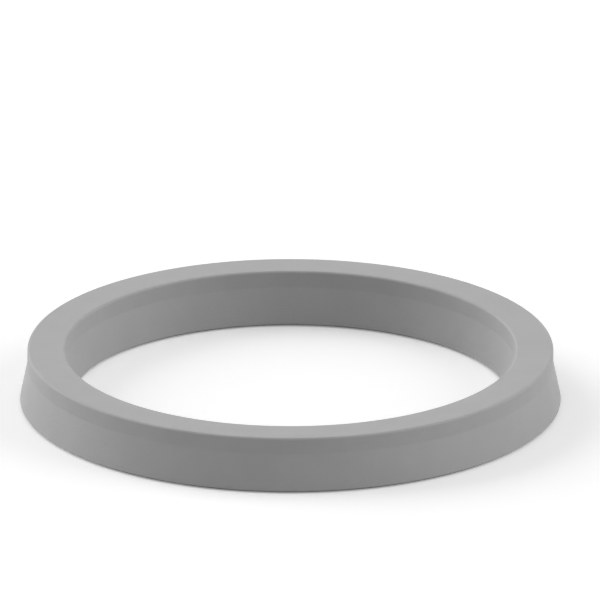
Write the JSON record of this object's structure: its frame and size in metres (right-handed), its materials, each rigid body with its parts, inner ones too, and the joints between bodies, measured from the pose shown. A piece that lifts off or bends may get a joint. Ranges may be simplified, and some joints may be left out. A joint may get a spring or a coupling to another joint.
{
  "type": "u-cup wiper seal",
  "caption": "Round U-cup seal ring with a solid flat heel and flared, bevel-trimmed lips around a round-bottomed groove, which wipes and seals a sliding rod.",
  "frame": {"origin": "on the ring's axis, at the level of the low edges of the lips, on which it stands", "axes": "+Z along the ring's axis, from the lips towards the heel's flat face; +X and +Y are radial"},
  "size_m": [0.0914, 0.0914, 0.0095],
  "materials": {
    "seal_rubber": "satin"
  },
  "bodies": {
    "root": {"seal_ring": "seal_rubber"}
  },
  "joints": []
}
